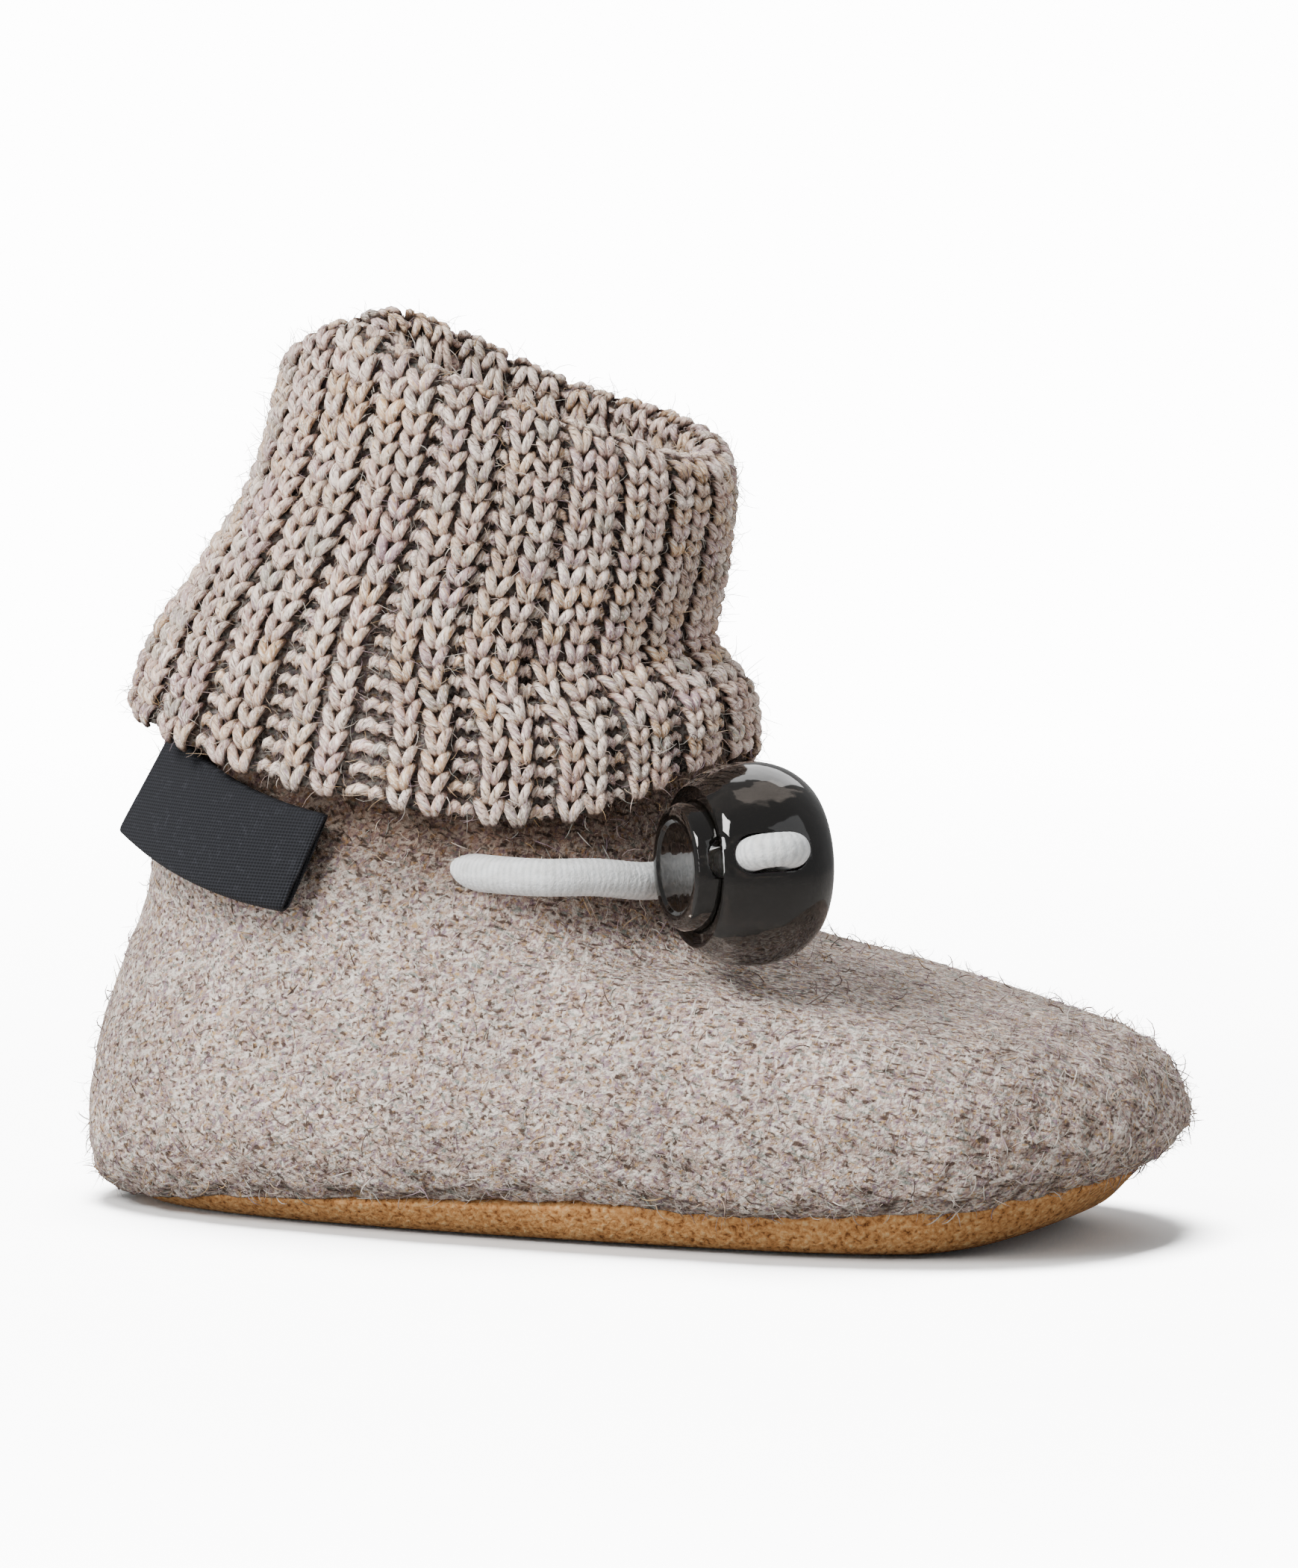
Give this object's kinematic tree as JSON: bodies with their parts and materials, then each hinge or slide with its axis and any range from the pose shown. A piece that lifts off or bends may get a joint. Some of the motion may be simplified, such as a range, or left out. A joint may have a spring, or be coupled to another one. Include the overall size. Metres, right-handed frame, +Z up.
{
  "type": "baby slipper",
  "caption": "Right baby slipper of boiled wool with a folded rib-knit cuff, a soft suede sole and an elastic cord with a press-button cord lock.",
  "frame": {"origin": "on the ground at mid-length, in the middle plane of the heel", "axes": "+X towards the toe, +Y towards the inner side of this right foot, +Z up"},
  "size_m": [0.1198, 0.0598, 0.095],
  "materials": {
    "suede": "napped suede",
    "insole_wool": "felted",
    "boiled_wool": "felted melange",
    "rib_knit": "two by two rib knit",
    "elastic": "braided",
    "smoke_plastic": "glossy, see-through smoke",
    "spring_steel": "drawn wire",
    "woven_tape": "woven"
  },
  "bodies": {
    "slipper": {"outsole": "suede", "insole": "insole_wool", "upper": "boiled_wool", "cuff": "rib_knit", "elastic_cord": "elastic", "lock_body": "smoke_plastic", "lock_spring": "spring_steel", "loop_label": "woven_tape"},
    "button": {"lock_plunger": "smoke_plastic"}
  },
  "joints": [
    {"name": "button_press", "type": "slide", "parent": "slipper", "child": "button", "axis": [0.7193, 0.6947, 0], "range_m": [0, 0.0018], "stiffness_N_per_m": 60, "deforming": ["lock_spring"]}
  ]
}
